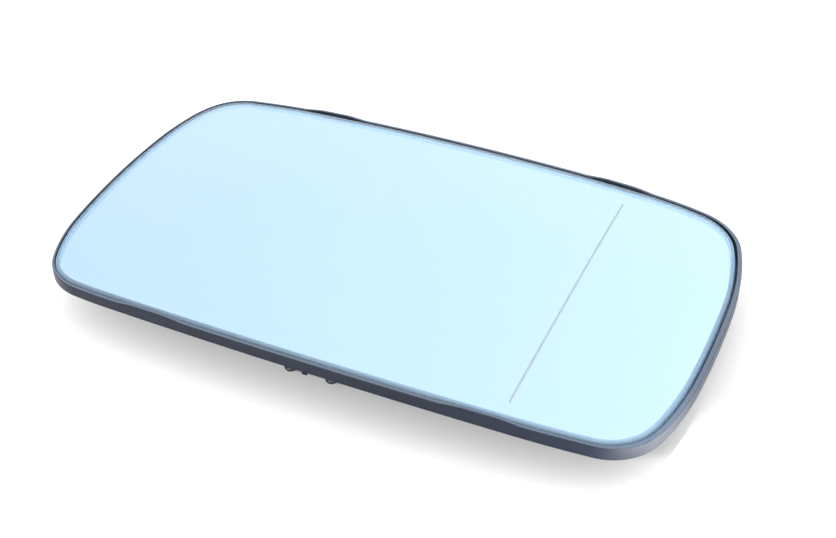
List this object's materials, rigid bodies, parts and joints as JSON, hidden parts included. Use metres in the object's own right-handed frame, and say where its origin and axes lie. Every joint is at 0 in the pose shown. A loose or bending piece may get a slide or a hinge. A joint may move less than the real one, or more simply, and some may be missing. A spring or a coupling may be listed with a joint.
{
  "type": "car door mirror glass",
  "caption": "Blue-tinted convex door mirror glass with an outer aspheric zone, on a black moulded carrier plate with a snap-finger ring for the mirror's actuator.",
  "frame": {"origin": "on the axis of the actuator socket, at the rear end of its ring of snap fingers, which is the surface that the part lies on", "axes": "+Z the way the glass looks, along the socket axis; +X along the long side towards the outer end, where the dividing line and the tighter curve are; +Y across, away from the retaining spring's tails"},
  "size_m": [0.1742, 0.1048, 0.018],
  "materials": {
    "mirror": "blue-tinted convex mirror, ground edges",
    "foil": "amber polyimide film with printed tracks",
    "carrier": "black moulding, satin",
    "terminal": "tinned brass",
    "rivet": "plain brass",
    "spring": "blackened spring wire"
  },
  "bodies": {
    "root": {"mirror_glass": "mirror", "heater_foil": "foil", "carrier_plate": "carrier", "heater_terminal_a": "terminal", "heater_terminal_b": "terminal", "terminal_rivets": "rivet", "retaining_spring": "spring"}
  },
  "joints": []
}
